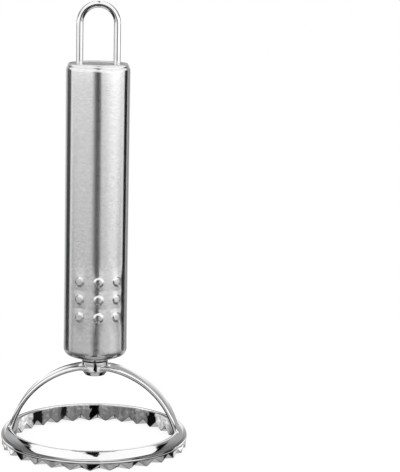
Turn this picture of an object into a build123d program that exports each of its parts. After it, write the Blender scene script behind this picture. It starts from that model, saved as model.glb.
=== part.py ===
from build123d import *
from math import cos, hypot, radians, sin, sqrt
import os

os.makedirs("parts", exist_ok=True)

# Cutting ring. Heights are counted from the tooth tips, which are at Z = 0.
rim_radius = 32.5
ring_wall = 3.8
ring_height = 6.2
rim_underside = 2.5
rim_edge_height = 0.5
lip_round = 0.5
tooth_count = 30
tooth_setback = 0.3
outer_notch_height = 2.25
inner_notch_height = 2.5
ridge_sink = 0.12
tooth_turn = -2.25

# Bow, a strip bent to a half circle, pressed flat under the neck
bow_width = 7.8
bow_thickness = 1.6
bow_rise = 22.3
land_margin = 0.65
land_bend_radius = 4.0
foot_overlap = 0.8
foot_lap = 1.0
foot_flare = 0.9
foot_flare_radius = 1.5
bow_edge_round = 0.4
head_turn = 6.0

# Centre bolt and the pieces it clamps
bolt_radius = 2.5
bolt_head_radius = 4.45
bolt_head_height = 1.85
bolt_bevel_height = 1.5
bolt_bevel_width = 1.0
bolt_tail = 2.0
bolt_tail_chamfer = 0.5
collar_lug_wall = 0.6
collar_height = 3.5
collar_groove_height = 0.35
collar_groove_depth = 0.3
collar_groove_rise = 1.5
bush_height = 7.0
bush_chamfer = 2.4
washer_radius = 4.6
washer_thickness = 1.2
washer_slot = 1.0
nut_across_flats = 8.0
nut_height = 4.0

# Handle tube with its grip bumps
handle_radius = 11.0
handle_wall = 0.8
handle_length = 100.5
handle_base_round = 3.0
handle_mouth_round = 0.5
bump_rows = 3
bump_columns = 3
bump_radius = 1.8
bump_height = 0.5
bump_root = 0.4
bump_row_pitch = 6.2
bump_column_angle = 35.0
bump_turn = 5.0
bump_middle_height = 21.65

# End cap, hanging loop and the plate that holds it
cap_thickness = 1.1
cap_edge_round = 0.8
cap_skirt_depth = 6.0
cap_skirt_wall = 0.8
wire_radius = 1.2
loop_bend_radius = 6.33
loop_rise = 21.0
plate_thickness = 1.5
wire_head_radius = 1.9
wire_head_height = 1.0

# Clearances
bolt_clearance = 0.1
slot_clearance = 0.05
thread_clearance = 0.05
bush_clearance = 0.1
cap_clearance = 0.05
plate_clearance = 0.1
wire_clearance = 0.1
notch_margin = 0.3

# Heights where the pieces meet, from the bow up to the top of the loop
bow_top = ring_height + bow_rise
bow_underside = bow_top - bow_thickness
handle_bottom = bow_top + collar_height
handle_top = handle_bottom + handle_length
bush_bottom = handle_bottom + handle_wall
washer_bottom = bush_bottom + bush_height
nut_bottom = washer_bottom + washer_thickness
bolt_end = nut_bottom + nut_height + bolt_tail
cap_top = handle_top + cap_thickness
plate_bottom = handle_top - plate_thickness
loop_bend_height = cap_top + loop_rise - wire_radius - loop_bend_radius

# Radii that follow from the ones above
ring_inner_radius = rim_radius - ring_wall
tooth_radius = rim_radius - tooth_setback
handle_bore = handle_radius - handle_wall
bolt_hole = bolt_radius + bolt_clearance
slot_half_width = bow_width / 2 + slot_clearance
collar_radius = slot_half_width + collar_lug_wall
skirt_radius = handle_bore - cap_clearance
skirt_bore = skirt_radius - cap_skirt_wall
wire_hole = wire_radius + wire_clearance

# The teeth are one zigzag ridge between tips on the outer wall and tips on the inner wall. Each notch is a
# pyramid that narrows to a tip on the far wall. The pyramids meet a little under the ring, so that a narrow
# flat land is left along the ridge.
half_pitch = radians(180 / tooth_count)


def notch_corners(x, tip, wall, height):
    """Corners, in a plane at x, of the triangle that narrows to a tip at the radius tip.

    At the radius wall the notch spans one tooth pitch and reaches up to height.
    """
    corner_scale = (x - tip) / (wall * cos(half_pitch) - tip)
    apex_scale = (x - tip) / (wall - tip)
    side = wall * sin(half_pitch) * corner_scale
    apex = (height + ridge_sink) * apex_scale - ridge_sink
    return (-side, -ridge_sink), (side, -ridge_sink), (0, apex)


outer_plane_x = tooth_radius + notch_margin
outer_corners = notch_corners(outer_plane_x, ring_inner_radius, tooth_radius, outer_notch_height)
with BuildPart() as outer_notch:
    with BuildSketch(Plane.YZ.offset(outer_plane_x)) as outer_base:
        Polygon(*outer_corners, align=None)
    loft(sections=[outer_base.sketch, Vertex(ring_inner_radius, 0, -ridge_sink)], ruled=True)

inner_plane_x = ring_inner_radius - notch_margin
inner_corners = notch_corners(inner_plane_x, tooth_radius, ring_inner_radius, inner_notch_height)
with BuildPart() as inner_notch:
    with BuildSketch(Plane.YZ.offset(inner_plane_x)) as inner_base:
        Polygon(*inner_corners, align=None)
    loft(sections=[inner_base.sketch, Vertex(tooth_radius, 0, -ridge_sink)], ruled=True)

# The ring before its teeth are cut: a quarter-round flange over a plain band
rim_top = rim_underside + rim_edge_height
crown_radius = ring_inner_radius + lip_round
with BuildPart() as ring_blank:
    with BuildSketch(Plane.XZ):
        with BuildLine():
            Line((ring_inner_radius, 0), (ring_inner_radius, ring_height - lip_round))
            RadiusArc((ring_inner_radius, ring_height - lip_round), (crown_radius, ring_height), lip_round)
            EllipticalCenterArc(
                (crown_radius, rim_top), rim_radius - crown_radius, ring_height - rim_top, 0, arc_size=90
            )
            Polyline(
                (rim_radius, rim_top),
                (rim_radius, rim_underside),
                (tooth_radius, rim_underside),
                (tooth_radius, 0),
                (ring_inner_radius, 0),
            )
        make_face()
    revolve(axis=Axis.Z)

# Cutting ring, with the notches cut from below
with BuildPart() as cutter_ring:
    add(ring_blank.part)
    with PolarLocations(0, tooth_count, start_angle=tooth_turn - 90):
        add(inner_notch.part, mode=Mode.SUBTRACT)
    with PolarLocations(0, tooth_count, start_angle=tooth_turn - 90 + 180 / tooth_count):
        add(outer_notch.part, mode=Mode.SUBTRACT)
cutter_ring.part.label = "cutter_ring"
export_step(cutter_ring.part, "parts/cutter_ring.step")

# The bow's arms are arcs about a point on the axis, from the end of the flat land down to the ring's top
land_end = collar_radius + land_margin
foot_x = ring_inner_radius + foot_overlap
arm_centre_z = (bow_top**2 + land_end**2 - ring_height**2 - foot_x**2) / (2 * bow_rise)
arm_radius = hypot(foot_x, ring_height - arm_centre_z)
arm_inner_radius = arm_radius - bow_thickness
foot_bottom = ring_height - foot_lap
flare_top = ring_height + foot_flare


def arm_at(radius, z):
    """X of the arm's face of this radius at height z."""
    return sqrt(radius**2 - (z - arm_centre_z) ** 2)


# Bow: the strip's side view, extruded to its width; the feet are coped over the ring's inner edge
turn = radians(head_turn)
bow_plane = Plane((0, 0, 0), x_dir=(cos(turn), -sin(turn), 0), z_dir=(-sin(turn), -cos(turn), 0))
flare_x = arm_at(arm_radius, flare_top)
flare_end_x = flare_x + flare_top - foot_bottom
inner_land_end = arm_at(arm_inner_radius, bow_underside)
inner_foot_x = arm_at(arm_inner_radius, foot_bottom)
with BuildPart() as bow:
    with BuildSketch(bow_plane) as bow_side:
        with BuildLine():
            Line((0, bow_top), (land_end, bow_top))
            RadiusArc((land_end, bow_top), (flare_x, flare_top), arm_radius)
            Line((flare_x, flare_top), (flare_end_x, foot_bottom))
            Line((flare_end_x, foot_bottom), (inner_foot_x, foot_bottom))
            RadiusArc((inner_foot_x, foot_bottom), (inner_land_end, bow_underside), -arm_inner_radius)
            Line((inner_land_end, bow_underside), (0, bow_underside))
            mirror(about=Plane.YZ)
        make_face()
        corners = bow_side.vertices().sort_by(Axis.Y)
        land_corners = corners.filter_by_position(Axis.Y, bow_underside, bow_top)
        fillet([corner for corner in land_corners if abs(corner.X) > bolt_radius], land_bend_radius)
        corners = bow_side.vertices()
        fillet(corners.filter_by_position(Axis.Y, flare_top, flare_top), foot_flare_radius)
    extrude(amount=bow_width / 2, both=True)
    sides = bow.faces().sort_by(Axis((0, 0, 0), bow_plane.z_dir))
    foot_ends = bow.edges().group_by(Axis.Z)[0]
    fillet(sides[0].edges() + sides[-1].edges() - foot_ends, bow_edge_round)
    with Locations((0, 0, bow_top)):
        Hole(bolt_hole)
    add(ring_blank.part, mode=Mode.SUBTRACT)
bow.part.label = "bow"
export_step(bow.part, "parts/bow.step")

# Centre bolt: bevelled round head under the bow, plain shank up into the handle
head_bottom = bow_underside - bolt_head_height
with BuildPart() as centre_bolt:
    with BuildSketch(Plane.XZ):
        with BuildLine():
            Polyline(
                (0, head_bottom),
                (bolt_head_radius - bolt_bevel_width, head_bottom),
                (bolt_head_radius, head_bottom + bolt_bevel_height),
                (bolt_head_radius, bow_underside),
                (bolt_radius, bow_underside),
                (bolt_radius, bolt_end - bolt_tail_chamfer),
                (bolt_radius - bolt_tail_chamfer, bolt_end),
                (0, bolt_end),
                close=True,
            )
        make_face()
    revolve(axis=Axis.Z)
centre_bolt.part.label = "centre_bolt"
export_step(centre_bolt.part, "parts/centre_bolt.step")

# Neck collar between the bow and the handle, with a fine groove round it. The bow lies in a slot across its
# lower end, between two thin lugs that keep it from turning.
groove_bottom = bow_top + collar_groove_rise
slot_plane = Plane((0, 0, bow_underside), x_dir=(cos(turn), -sin(turn), 0), z_dir=(0, 0, 1))
with BuildPart() as neck_collar:
    with BuildSketch(Plane.XY.offset(bow_underside)):
        Circle(collar_radius)
    extrude(amount=handle_bottom - bow_underside)
    with BuildSketch(slot_plane):
        Rectangle(2 * collar_radius, 2 * slot_half_width)
    extrude(amount=bow_thickness, mode=Mode.SUBTRACT)
    with Locations((0, 0, handle_bottom)):
        Hole(bolt_hole)
    with BuildSketch(Plane.XY.offset(groove_bottom)):
        Circle(collar_radius)
        Circle(collar_radius - collar_groove_depth, mode=Mode.SUBTRACT)
    extrude(amount=collar_groove_height, mode=Mode.SUBTRACT)
neck_collar.part.label = "neck_collar"
export_step(neck_collar.part, "parts/neck_collar.step")

# One grip bump, a low spherical cap about the Z axis, rooted in the tube's wall
bump_sphere = (bump_radius**2 + bump_height**2) / (2 * bump_height)
with BuildPart() as grip_bump:
    with Locations((0, 0, bump_height - bump_sphere)):
        Sphere(bump_sphere)
    split(bisect_by=Plane.XY.offset(-bump_root), keep=Keep.TOP)

# Places of the bumps on the tube: their own Z axis points out of the handle
bump_places = []
for row in range(bump_rows):
    for column in range(bump_columns):
        bump_angle = radians(bump_turn + bump_column_angle * (column - (bump_columns - 1) / 2))
        bump_out = (sin(bump_angle), -cos(bump_angle), 0)
        bump_z = handle_bottom + bump_middle_height + bump_row_pitch * (row - (bump_rows - 1) / 2)
        bump_seat = (handle_radius * bump_out[0], handle_radius * bump_out[1], bump_z)
        bump_places.append(Plane(bump_seat, x_dir=(0, 0, 1), z_dir=bump_out))

# Handle tube: a deep-drawn cup, closed below with a hole for the bolt, open above
base_flat = handle_radius - handle_base_round
base_round_top = handle_bottom + handle_base_round
inner_round = handle_base_round - handle_wall
mouth_flat = handle_radius - handle_mouth_round
mouth_round_start = handle_top - handle_mouth_round
with BuildPart() as handle_tube:
    with BuildSketch(Plane.XZ):
        with BuildLine():
            Line((bolt_hole, handle_bottom), (base_flat, handle_bottom))
            RadiusArc((base_flat, handle_bottom), (handle_radius, base_round_top), -handle_base_round)
            Line((handle_radius, base_round_top), (handle_radius, mouth_round_start))
            RadiusArc((handle_radius, mouth_round_start), (mouth_flat, handle_top), -handle_mouth_round)
            Line((mouth_flat, handle_top), (handle_bore, handle_top))
            Line((handle_bore, handle_top), (handle_bore, base_round_top))
            RadiusArc((handle_bore, base_round_top), (base_flat, bush_bottom), inner_round)
            Line((base_flat, bush_bottom), (bolt_hole, bush_bottom))
            Line((bolt_hole, bush_bottom), (bolt_hole, handle_bottom))
        make_face()
    revolve(axis=Axis.Z)
    with Locations(*bump_places):
        add(grip_bump.part)
handle_tube.part.label = "handle_tube"
export_step(handle_tube.part, "parts/handle_tube.step")

# Base bush: turned plug that backs the tube's thin base under the nut
with BuildPart() as base_bush:
    with BuildSketch(Plane.XY.offset(bush_bottom)):
        Circle(handle_bore - bush_clearance)
        Circle(bolt_hole, mode=Mode.SUBTRACT)
    extrude(amount=bush_height)
    chamfer(base_bush.faces().sort_by(Axis.Z)[0].outer_wire().edges(), bush_chamfer)
base_bush.part.label = "base_bush"
export_step(base_bush.part, "parts/base_bush.step")

# Spring washer, split on one side
with BuildPart() as spring_washer:
    with BuildSketch(Plane.XY.offset(washer_bottom)):
        Circle(washer_radius)
        Circle(bolt_hole, mode=Mode.SUBTRACT)
        with Locations((washer_radius / 2, 0)):
            Rectangle(washer_radius, washer_slot, mode=Mode.SUBTRACT)
    extrude(amount=washer_thickness)
spring_washer.part.label = "spring_washer"
export_step(spring_washer.part, "parts/spring_washer.step")

# Hexagon nut
with BuildPart() as hex_nut:
    with BuildSketch(Plane.XY.offset(nut_bottom)):
        RegularPolygon(nut_across_flats / 2, 6, major_radius=False)
        Circle(bolt_radius + thread_clearance, mode=Mode.SUBTRACT)
    extrude(amount=nut_height)
hex_nut.part.label = "hex_nut"
export_step(hex_nut.part, "parts/hex_nut.step")

# End cap: flange on the tube's rim, skirt pressed into the bore, two holes for the wire
with BuildPart() as end_cap:
    with BuildSketch(Plane.XY.offset(handle_top)):
        Circle(mouth_flat)
    extrude(amount=cap_thickness)
    fillet(end_cap.edges().sort_by(Axis.Z)[-1], cap_edge_round)
    with BuildSketch(Plane.XY.offset(handle_top)):
        Circle(skirt_radius)
        Circle(skirt_bore, mode=Mode.SUBTRACT)
    extrude(amount=-cap_skirt_depth)
    with BuildSketch(Plane.XY.offset(handle_top)):
        with Locations((-loop_bend_radius, 0), (loop_bend_radius, 0)):
            Circle(wire_hole)
    extrude(amount=cap_thickness, mode=Mode.SUBTRACT)
end_cap.part.label = "end_cap"
export_step(end_cap.part, "parts/end_cap.step")

# Loop plate: backs the cap where the wire passes through
with BuildPart() as loop_plate:
    with BuildSketch(Plane.XY.offset(plate_bottom)):
        Circle(skirt_bore - plate_clearance)
        with Locations((-loop_bend_radius, 0), (loop_bend_radius, 0)):
            Circle(wire_hole, mode=Mode.SUBTRACT)
    extrude(amount=plate_thickness)
loop_plate.part.label = "loop_plate"
export_step(loop_plate.part, "parts/loop_plate.step")

# Hanging loop: one bent wire, both ends headed over under the plate
wire_end = plate_bottom - wire_head_height
with BuildPart() as hanging_loop:
    with BuildLine(Plane.XZ) as loop_path:
        Line((-loop_bend_radius, wire_end), (-loop_bend_radius, loop_bend_height))
        RadiusArc(
            (-loop_bend_radius, loop_bend_height), (loop_bend_radius, loop_bend_height), loop_bend_radius
        )
        Line((loop_bend_radius, loop_bend_height), (loop_bend_radius, wire_end))
    with BuildSketch(Plane((-loop_bend_radius, 0, wire_end), x_dir=(1, 0, 0), z_dir=(0, 0, 1))):
        Circle(wire_radius)
    sweep(path=loop_path.wire())
    with BuildSketch(Plane.XY.offset(wire_end)):
        with Locations((-loop_bend_radius, 0), (loop_bend_radius, 0)):
            Circle(wire_head_radius)
    extrude(amount=wire_head_height)
hanging_loop.part.label = "hanging_loop"
export_step(hanging_loop.part, "parts/hanging_loop.step")
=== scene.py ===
# %% [markdown]
# This lesson dresses a pierogi cutter: a toothed chrome ring, an arched bow, a neck, and a satin steel
# handle with grip bumps and a wire loop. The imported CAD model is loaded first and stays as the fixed
# frame. Every surface below is worked out in millimetres with numpy, in the frame's own axes, and shrunk
# to metres at the end.

import math

import bmesh
import bpy
import numpy as np
from mathutils import Matrix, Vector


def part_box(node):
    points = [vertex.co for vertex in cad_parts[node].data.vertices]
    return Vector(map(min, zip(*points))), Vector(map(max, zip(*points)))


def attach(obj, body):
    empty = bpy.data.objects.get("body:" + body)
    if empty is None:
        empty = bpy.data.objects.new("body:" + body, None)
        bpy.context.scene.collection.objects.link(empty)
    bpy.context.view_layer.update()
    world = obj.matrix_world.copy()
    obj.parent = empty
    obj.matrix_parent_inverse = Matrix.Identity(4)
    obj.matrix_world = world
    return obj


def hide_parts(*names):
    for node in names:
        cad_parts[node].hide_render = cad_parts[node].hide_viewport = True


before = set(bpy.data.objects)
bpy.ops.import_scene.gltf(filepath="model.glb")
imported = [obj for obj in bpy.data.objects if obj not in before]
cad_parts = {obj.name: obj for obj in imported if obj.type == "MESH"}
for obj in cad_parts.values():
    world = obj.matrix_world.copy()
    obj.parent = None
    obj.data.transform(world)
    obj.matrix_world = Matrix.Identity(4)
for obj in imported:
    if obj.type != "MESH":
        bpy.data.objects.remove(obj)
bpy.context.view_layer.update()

MM = 0.001


def reach(node):
    """Half the width in X, the bottom and the top of a CAD node, in millimetres."""
    low, high = (np.array(corner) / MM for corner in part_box(node))
    return (high[0] - low[0]) / 2, low[2], high[2]


# %% [markdown]
# A surface here is a grid of points: rows follow a profile, columns go once round. Joining each point to
# its neighbours gives the quads, so no face of a piece is listed by hand. Blender could also revolve or
# sweep curves, but a grid keeps every formula in sight and every seam closed, because the last column is
# joined to the first. A ring's last row is joined to its first too, and a bar gets one more face at each
# end.


# %% Grids become faces
def grid_quads(rows, columns, close_rows):
    """Corner numbers of a grid's quads: columns close on themselves, and rows do if close_rows is true."""
    row = np.arange(rows if close_rows else rows - 1)[:, None]
    column = np.arange(columns)[None, :]
    next_row = (row + 1) % rows
    next_column = (column + 1) % columns
    corners = (
        row * columns + column,
        row * columns + next_column,
        next_row * columns + next_column,
        next_row * columns + column,
    )
    return np.stack(np.broadcast_arrays(*corners), axis=-1).reshape(-1, 4).tolist()


def ring_of(grid):
    """Points and faces of a ring, a grid that closes both ways."""
    return grid.reshape(-1, 3), grid_quads(*grid.shape[:2], close_rows=True)


def bar_of(grid, reverse=False):
    """Points and faces of a bar, a grid with a face at each end; reverse turns all its faces round."""
    rows, columns = grid.shape[:2]
    faces = grid_quads(rows, columns, close_rows=False)
    faces.append(list(range(columns))[::-1])
    faces.append(list(range((rows - 1) * columns, rows * columns)))
    if reverse:
        faces = [face[::-1] for face in faces]
    return grid.reshape(-1, 3), faces


# %% [markdown]
# Each piece is one object that stands for a CAD node and rides on the part's only body. It is shaded
# smooth up to a given angle between faces, and measured at once. A volume below zero would mean that the
# faces look inwards, and an open edge that a seam was left open.

# %% Faces become pieces
pieces = {}
double_distance = MM / 1000


def read(items, attribute, width, kind=float):
    """One attribute of a mesh's points, edges or triangles, as an array with a row for each of them."""
    values = np.empty(len(items) * width, dtype=kind)
    items.foreach_get(attribute, values)
    return values.reshape(-1, width)


def measured(mesh):
    """Triangles, volume and open edges of a mesh, in words.

    The volume is the sum of the tetrahedra from the origin to each triangle. An open edge is one that
    doesn't have exactly two faces.
    """
    mesh.calc_loop_triangles()
    triangles = read(mesh.loop_triangles, "vertices", 3, int)
    points = read(mesh.vertices, "co", 3) / MM
    a, b, c = (points[triangles[:, corner]] for corner in range(3))
    volume = np.einsum("ij,ij->", a, np.cross(b, c)) / 6
    faces_at_edge = np.bincount(read(mesh.loops, "edge_index", 1, int).ravel())
    open_edges = np.count_nonzero(faces_at_edge != 2)
    return f"{len(triangles)} triangles, {volume:.1f} mm3, {open_edges} open edges"


def make_piece(name, node, points, faces, sharp_angle=40, merge=False):
    """A smooth-shaded mesh from points in millimetres; it stands for a CAD node and rides on the one body.

    Where grids meet or have collapsed, merge joins the points that coincide and drops faces without area.
    """
    mesh = bpy.data.meshes.new(name)
    mesh.from_pydata((points * MM).tolist(), [], faces)
    if merge:
        shape = bmesh.new()
        shape.from_mesh(mesh)
        bmesh.ops.remove_doubles(shape, verts=shape.verts, dist=double_distance)
        bmesh.ops.dissolve_degenerate(shape, edges=shape.edges, dist=double_distance)
        shape.to_mesh(mesh)
        shape.free()
    mesh.shade_smooth()
    mesh.set_sharp_from_angle(angle=math.radians(sharp_angle))
    piece = bpy.data.objects.new(name, mesh)
    bpy.context.scene.collection.objects.link(piece)
    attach(piece, "root")
    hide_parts(node)
    pieces[name] = piece
    print(f"{name}: {measured(mesh)}")


# %% [markdown]
# Most pieces of this tool were turned on a lathe or drawn in a round die, so they are surfaces of
# revolution. The profile is drawn in the (radius, height) plane, up the outside and down the inside,
# with its corners broken by small arcs: real metal has no perfectly sharp edge, and the thin highlights
# on those arcs are what make it look like metal.


# %% Rounded profiles and the lathe
def rounded(corners, arc_steps=5):
    """Outline through corners (r, z, round), where each corner turns on an arc of its own radius.

    The arc touches both sides; its points run from the first touching point to the second at even angles.
    """
    corners = np.array(corners, dtype=float)
    share = np.linspace(0, 1, arc_steps + 1)[:, None]
    outline = []
    for before, corner, after in zip(np.roll(corners, 1, axis=0), corners, np.roll(corners, -1, axis=0)):
        if corner[2] == 0:
            outline.append(corner[None, :2])
            continue
        back = (before - corner)[:2] / np.linalg.norm((before - corner)[:2])
        ahead = (after - corner)[:2] / np.linalg.norm((after - corner)[:2])
        half = np.arccos(np.clip(back @ ahead, -1, 1)) / 2
        middle = (back + ahead) / np.linalg.norm(back + ahead)
        centre = corner[:2] + middle * corner[2] / np.sin(half)
        start = corner[:2] + back * corner[2] / np.tan(half) - centre
        end = corner[:2] + ahead * corner[2] / np.tan(half) - centre
        turn = np.pi - 2 * half
        bend = (np.sin((1 - share) * turn) * start + np.sin(share * turn) * end) / np.sin(turn)
        outline.append(centre + bend)
    return np.concatenate(outline)


def arc(middle, span, start, end, steps):
    """Rows (r, z) of an elliptic arc: middle + span (cos a, sin a), with a from start to end in degrees."""
    angle = np.radians(np.linspace(start, end, steps + 1))
    return np.stack([middle[0] + span[0] * np.cos(angle), middle[1] + span[1] * np.sin(angle)], axis=-1)


def even_azimuth(columns):
    """Azimuths once round the axis, in equal steps."""
    return np.linspace(0, 2 * np.pi, columns, endpoint=False)


def turned(azimuth, *stretches):
    """Grid of points (r cos a, r sin a, z) round the axis, whose rows follow the stretches of an outline.

    A stretch is an array of rows (r, z), or a pair of radius and height. These are numbers, columns with a
    value for each row, or grids that also change with the azimuth.
    """
    grids = []
    for stretch in stretches:
        radius, height = stretch if isinstance(stretch, tuple) else (stretch[:, :1], stretch[:, 1:])
        axes = (radius * np.cos(azimuth), radius * np.sin(azimuth), height + 0 * azimuth)
        grids.append(np.stack(np.broadcast_arrays(*axes), axis=-1).reshape(-1, len(azimuth), 3))
    return np.concatenate(grids)


# %% [markdown]
# The cutting ring is a chromed casting. Its flange is a quarter of an ellipse, its inner wall is
# straight, and the teeth underneath are one zigzag ridge that runs from a tip on the outer wall to a tip
# on the inner wall and back, thirty times. On both sides of the ridge a plane climbs away from it. A
# Boolean cut would leave knife edges and long thin triangles, so the underside is a height field
# instead: the distance from the ridge line sets the height.

# %% Tooth shape
rim_radius, _, ring_height = reach("cutter_ring")
ring_wall = 3.8
tooth_setback = 0.3
ring_inner = rim_radius - ring_wall
tooth_outer = rim_radius - tooth_setback
tooth_count = 30
half_pitch = math.pi / tooth_count
first_tip = math.radians(-92.25)
outer_notch = 2.25
inner_notch = 2.5
ridge_round = 0.16

ridge_step = np.array([ring_inner * math.cos(half_pitch) - tooth_outer, ring_inner * math.sin(half_pitch)])
ridge_length = np.linalg.norm(ridge_step)


def from_ridge(radius, share):
    """Signed distance from the ridge line, positive towards the outer wall.

    share is 0 at an outer tip and 1 at the next inner tip; share times the half pitch is the angle between.
    """
    x = radius * np.cos(share * half_pitch)
    y = radius * np.sin(share * half_pitch)
    return ((x - tooth_outer) * ridge_step[1] - y * ridge_step[0]) / ridge_length


outer_slope = (outer_notch + ridge_round) / from_ridge(tooth_outer, 1)
inner_slope = (inner_notch + ridge_round) / -from_ridge(ring_inner, 0)


def underside(radius, share):
    """Height of the teeth: two planes rise from the ridge, joined by a hyperbola that rounds it."""
    distance = from_ridge(radius, share)
    bend = np.sqrt(distance**2 + ridge_round**2) - ridge_round
    return ((outer_slope - inner_slope) * distance + (outer_slope + inner_slope) * bend) / 2


print(f"ring: rim radius {rim_radius:.2f} mm, {tooth_count} teeth")
print(f"the flanks rise at {outer_slope:.2f} outside the ridge and {inner_slope:.2f} inside it")

# %% [markdown]
# The ring is one grid that closes both ways: up the outer wall, over the flange, down the inner wall and
# back along the teeth. Columns crowd towards the tips, where the flanks meet in valleys. Rows crowd
# towards the ridge, whose radius in each column is that of the straight line between the tips. One row
# lies close to each wall: smooth shading bends over the last row before an edge, so that row has to be
# narrow.

# %% Toothed ring
rim_underside = 2.5
rim_middle = 3.5
lip_round = 0.5
wall_bevel = 0.06
crown_radius = ring_inner + lip_round

crowd = np.array([0, 0.03, 0.09, 0.2, 0.35, 0.5, 0.65, 0.8, 0.91, 0.97])
in_pitch = np.concatenate([crowd, 1 + crowd])
to_inner_tip = np.tile(np.where(in_pitch <= 1, in_pitch, 2 - in_pitch), tooth_count)
tooth_start = 2 * np.repeat(np.arange(tooth_count), len(in_pitch))
ring_azimuth = first_tip + half_pitch * (tooth_start + np.tile(in_pitch, tooth_count))

from_tip = to_inner_tip * half_pitch
ridge_radius = (tooth_outer * ring_inner * math.sin(half_pitch)) / (
    tooth_outer * np.sin(from_tip) + ring_inner * np.sin(half_pitch - from_tip)
)
ridge_radius = np.clip(ridge_radius, ring_inner + 2 * wall_bevel, tooth_outer - 2 * wall_bevel)
away = np.array([0, 0.02, 0.05, 0.1, 0.17, 0.28, 0.45, 0.7, 0.96, 1])[:, None]
inner_rows = ridge_radius - away[::-1] * (ridge_radius - ring_inner - wall_bevel)
outer_rows = ridge_radius + away[1:] * (tooth_outer - wall_bevel - ridge_radius)
tooth_rows = np.concatenate([inner_rows, outer_rows])

wall_share = np.array([0, 0.03, 0.25, 0.5, 0.75, 0.97, 1])[:, None]
outer_foot = underside(tooth_outer, to_inner_tip) + wall_bevel
outer_wall = outer_foot + wall_share * (rim_underside - outer_foot)
inner_foot = underside(ring_inner, to_inner_tip) + wall_bevel
inner_wall = ring_height - lip_round + wall_share[1:] * (inner_foot - ring_height + lip_round)

ring_grid = turned(
    ring_azimuth,
    (tooth_outer, outer_wall),
    arc((tooth_outer, rim_middle), (tooth_setback, rim_middle - rim_underside), -90, 0, 14)[1:],
    arc((crown_radius, rim_middle), (rim_radius - crown_radius, ring_height - rim_middle), 0, 90, 24)[1:],
    arc((crown_radius, ring_height - lip_round), (lip_round, lip_round), 90, 180, 8)[1:],
    (ring_inner, inner_wall),
    (tooth_rows, underside(tooth_rows, to_inner_tip)),
)
make_piece("toothed_ring", "cutter_ring", *ring_of(ring_grid))

# %% [markdown]
# The bow is a flat strip bent to a half circle, pressed flat in the middle where the neck sits, and
# flared at its two feet, which are brazed to the ring's inner edge. A bent curve with a bevel would give
# it the same thickness all along, without the flares. So its outer and inner faces are two curves in the
# bow's own plane. Each is an arc about a point on the axis that runs into a smaller bend and then into
# the flat land.

# %% Faces of the bow
_, foot_bottom, bow_top = reach("bow")
bow_thickness = 1.6
land_end = 5.2
land_bend = 4.0
foot_overlap = 0.8
flare_rise = 0.9
flare_length = 0.5
foot_x = ring_inner + foot_overlap
flare_top = ring_height + flare_rise

bow_rise = bow_top - ring_height
arm_centre = (bow_top**2 + land_end**2 - ring_height**2 - foot_x**2) / (2 * bow_rise)
arm_radius = math.hypot(foot_x, ring_height - arm_centre)


def arm_and_land(radius, land_height, start_height):
    """Half of one face of the strip, from the arm's lower end to the middle of the land, as rows of (x, z).

    The arm is (R sin a, c + R cos a). Where it touches a circle of the bend's radius f that also touches the
    land, it changes to (x0 + f sin a, land - f + f cos a), and at a = 0 that runs into the straight land.
    """
    bend_z = land_height - land_bend
    bend_x = math.sqrt((radius - land_bend) ** 2 - (bend_z - arm_centre) ** 2)
    touch = math.atan2(bend_x, bend_z - arm_centre)
    start = math.acos((start_height - arm_centre) / radius)
    arm = np.linspace(start, touch, 48)
    bend = np.linspace(touch, 0, 12)[1:]
    land = np.linspace(bend_x, 0, 6)[1:]
    x = np.concatenate([radius * np.sin(arm), bend_x + land_bend * np.sin(bend), land])
    arm_z = arm_centre + radius * np.cos(arm)
    z = np.concatenate([arm_z, bend_z + land_bend * np.cos(bend), 0 * land + land_height])
    return np.stack([x, z], axis=-1)


# The outer face leaves the arm on a quadratic curve and runs down the flare at 45 degrees
outwards = np.array([1, -1])
arm_start = flare_top + flare_length
outer_half = arm_and_land(arm_radius, bow_top, arm_start)
flare_corner = np.array([math.sqrt(arm_radius**2 - (flare_top - arm_centre) ** 2), flare_top])
flare_end = flare_corner + (flare_top - foot_bottom) * outwards
flare_start = flare_corner + flare_length * outwards / math.sqrt(2)
flare_share = np.linspace(0, 1, 7)[:-1, None]
flare_curve = (
    (1 - flare_share) ** 2 * flare_start
    + 2 * flare_share * (1 - flare_share) * flare_corner
    + flare_share**2 * outer_half[0]
)
outer_half = np.concatenate([[flare_end], flare_curve, outer_half])

inner_radius = arm_radius - bow_thickness
inner_foot_z = np.linspace(foot_bottom, arm_start, 8)[:-1]
inner_foot_x = np.sqrt(inner_radius**2 - (inner_foot_z - arm_centre) ** 2)
inner_arm = arm_and_land(inner_radius, bow_top - bow_thickness, arm_start)
inner_half = np.concatenate([np.stack([inner_foot_x, inner_foot_z], axis=-1), inner_arm])
print(f"bow: arms on a radius of {arm_radius:.2f} mm, {len(outer_half)} points from a foot to the middle")

# %% [markdown]
# The strip between the two faces is a rounded rectangle carried from foot to foot. Each point of the
# section is a share of the way from the inner face to the outer one, so the section stretches by itself
# where the feet flare. The whole head is turned a little about the handle's axis, as it was assembled.

# %% Strip of the bow
bow_width = 7.8
bow_edge_round = 0.7
head_turn = math.radians(6)


def mirrored(half):
    """A half that ends in the middle, followed by its mirror image back to the other end."""
    return np.concatenate([half, (half * np.array([-1, 1]))[-2::-1]])


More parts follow.
